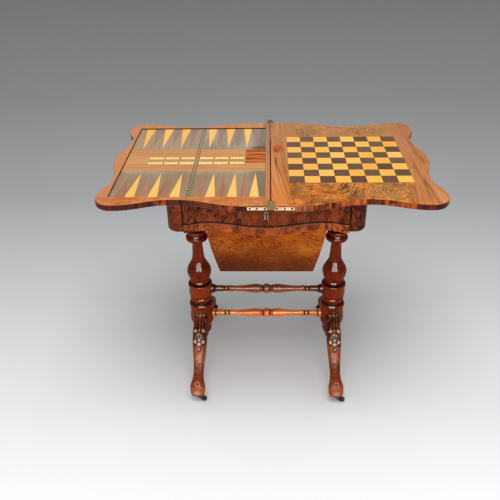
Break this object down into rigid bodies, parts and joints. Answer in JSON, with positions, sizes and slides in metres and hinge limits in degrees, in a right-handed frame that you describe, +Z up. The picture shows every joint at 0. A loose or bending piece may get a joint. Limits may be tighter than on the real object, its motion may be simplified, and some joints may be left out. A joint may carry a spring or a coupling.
{
  "type": "games and work table",
  "caption": "Folding games table: serpentine swivel top with chess and backgammon boards, drawer, sliding work box, turned columns, carved cabriole legs and castors.",
  "frame": {"origin": "on the floor, below the middle of the line where the two leaves meet", "axes": "+X to the right, towards the chessboard leaf; +Y to the back; +Z up"},
  "size_m": [0.92, 0.6, 0.7518],
  "materials": {
    "burr_walnut": "polished burr walnut veneer",
    "turned_walnut": "turned walnut, french polished",
    "carved_walnut": "carved walnut, polished",
    "box_veneer": "golden walnut veneer, satin",
    "carcase_wood": "plain inner timber, unpolished",
    "chess_inlay": "satinwood and dark inlay, polished",
    "field_inlay": "inlaid backgammon points and scorer, polished",
    "brass": "aged polished brass",
    "dark_iron": "dark iron"
  },
  "bodies": {
    "base": {"column_left": "turned_walnut", "column_right": "turned_walnut", "stretcher_upper": "turned_walnut", "stretcher_lower": "turned_walnut", "leg_front_left": "carved_walnut", "leg_front_right": "carved_walnut", "leg_back_left": "carved_walnut", "leg_back_right": "carved_walnut", "bearer_left": "carcase_wood", "bearer_right": "carcase_wood", "corner_post_front_left": "burr_walnut", "corner_post_front_right": "burr_walnut", "corner_post_back_left": "burr_walnut", "corner_post_back_right": "burr_walnut", "frieze_left": "burr_walnut", "frieze_right": "burr_walnut", "frieze_back": "burr_walnut", "top_rail_front": "burr_walnut", "pivot_rail": "carcase_wood", "runner_left": "carcase_wood", "runner_right": "carcase_wood", "castor_plate_front_left": "dark_iron", "castor_plate_front_right": "dark_iron", "castor_plate_back_left": "dark_iron", "castor_plate_back_right": "dark_iron"},
    "lower_leaf": {"lower_leaf_board": "burr_walnut", "chess_field": "chess_inlay", "hinge_plate_lower_front": "brass", "hinge_plate_lower_back": "brass", "hinge_pin_front": "brass", "hinge_pin_back": "brass", "pivot_bolt": "dark_iron", "pivot_nut": "dark_iron"},
    "upper_leaf": {"upper_leaf_board": "burr_walnut", "backgammon_field": "field_inlay", "hinge_plate_upper_front": "brass", "hinge_plate_upper_back": "brass"},
    "drawer": {"drawer_front": "burr_walnut", "drawer_side_left": "carcase_wood", "drawer_side_right": "carcase_wood", "drawer_back": "carcase_wood", "drawer_bottom": "carcase_wood", "escutcheon": "brass", "lock_case": "brass"},
    "lock_bolt": {"lock_bolt": "brass"},
    "work_box": {"slide_front": "burr_walnut", "slide_frame": "carcase_wood", "box_front": "box_veneer", "box_back": "box_veneer", "box_left": "box_veneer", "box_right": "box_veneer", "box_bottom": "box_veneer"},
    "fork_front_left": {"castor_fork_front_left": "dark_iron"},
    "fork_front_right": {"castor_fork_front_right": "dark_iron"},
    "fork_back_left": {"castor_fork_back_left": "dark_iron"},
    "fork_back_right": {"castor_fork_back_right": "dark_iron"},
    "wheel_front_left": {"castor_wheel_front_left": "dark_iron"},
    "wheel_front_right": {"castor_wheel_front_right": "dark_iron"},
    "wheel_back_left": {"castor_wheel_back_left": "dark_iron"},
    "wheel_back_right": {"castor_wheel_back_right": "dark_iron"}
  },
  "joints": [
    {"name": "top_swivel", "type": "hinge", "parent": "base", "child": "lower_leaf", "pos_m": [0.109, 0.121, 0.72], "axis": [0, 0, 1], "range_deg": [-90, 0]},
    {"name": "leaf_fold", "type": "hinge", "parent": "lower_leaf", "child": "upper_leaf", "pos_m": [0, 0, 0.7403], "axis": [0, 1, 0], "range_deg": [0, 180]},
    {"name": "drawer_slide", "type": "slide", "parent": "base", "child": "drawer", "axis": [0, -1, 0], "range_m": [0, 0.27]},
    {"name": "lock_bolt_slide", "type": "slide", "parent": "drawer", "child": "lock_bolt", "axis": [0, 0, 1], "range_m": [0, 0.005]},
    {"name": "work_box_slide", "type": "slide", "parent": "base", "child": "work_box", "axis": [0, -1, 0], "range_m": [0, 0.25]},
    {"name": "castor_swivel_front_left", "type": "hinge", "parent": "base", "child": "fork_front_left", "pos_m": [-0.234, -0.23901, 0.0202], "axis": [0, 0, 1], "continuous": true},
    {"name": "castor_swivel_front_right", "type": "hinge", "parent": "base", "child": "fork_front_right", "pos_m": [0.21, -0.23901, 0.0202], "axis": [0, 0, 1], "continuous": true},
    {"name": "castor_swivel_back_left", "type": "hinge", "parent": "base", "child": "fork_back_left", "pos_m": [-0.234, 0.23901, 0.0202], "axis": [0, 0, 1], "continuous": true},
    {"name": "castor_swivel_back_right", "type": "hinge", "parent": "base", "child": "fork_back_right", "pos_m": [0.21, 0.23901, 0.0202], "axis": [0, 0, 1], "continuous": true},
    {"name": "wheel_roll_front_left", "type": "hinge", "parent": "fork_front_left", "child": "wheel_front_left", "pos_m": [-0.21372, -0.24444, 0.009], "axis": [-0.2588, -0.9659, 0], "continuous": true},
    {"name": "wheel_roll_front_right", "type": "hinge", "parent": "fork_front_right", "child": "wheel_front_right", "pos_m": [0.23028, -0.24444, 0.009], "axis": [-0.2588, -0.9659, 0], "continuous": true},
    {"name": "wheel_roll_back_left", "type": "hinge", "parent": "fork_back_left", "child": "wheel_back_left", "pos_m": [-0.21372, 0.24444, 0.009], "axis": [0.2588, -0.9659, 0], "continuous": true},
    {"name": "wheel_roll_back_right", "type": "hinge", "parent": "fork_back_right", "child": "wheel_back_right", "pos_m": [0.18972, 0.24444, 0.009], "axis": [0.2588, 0.9659, 0], "continuous": true}
  ]
}
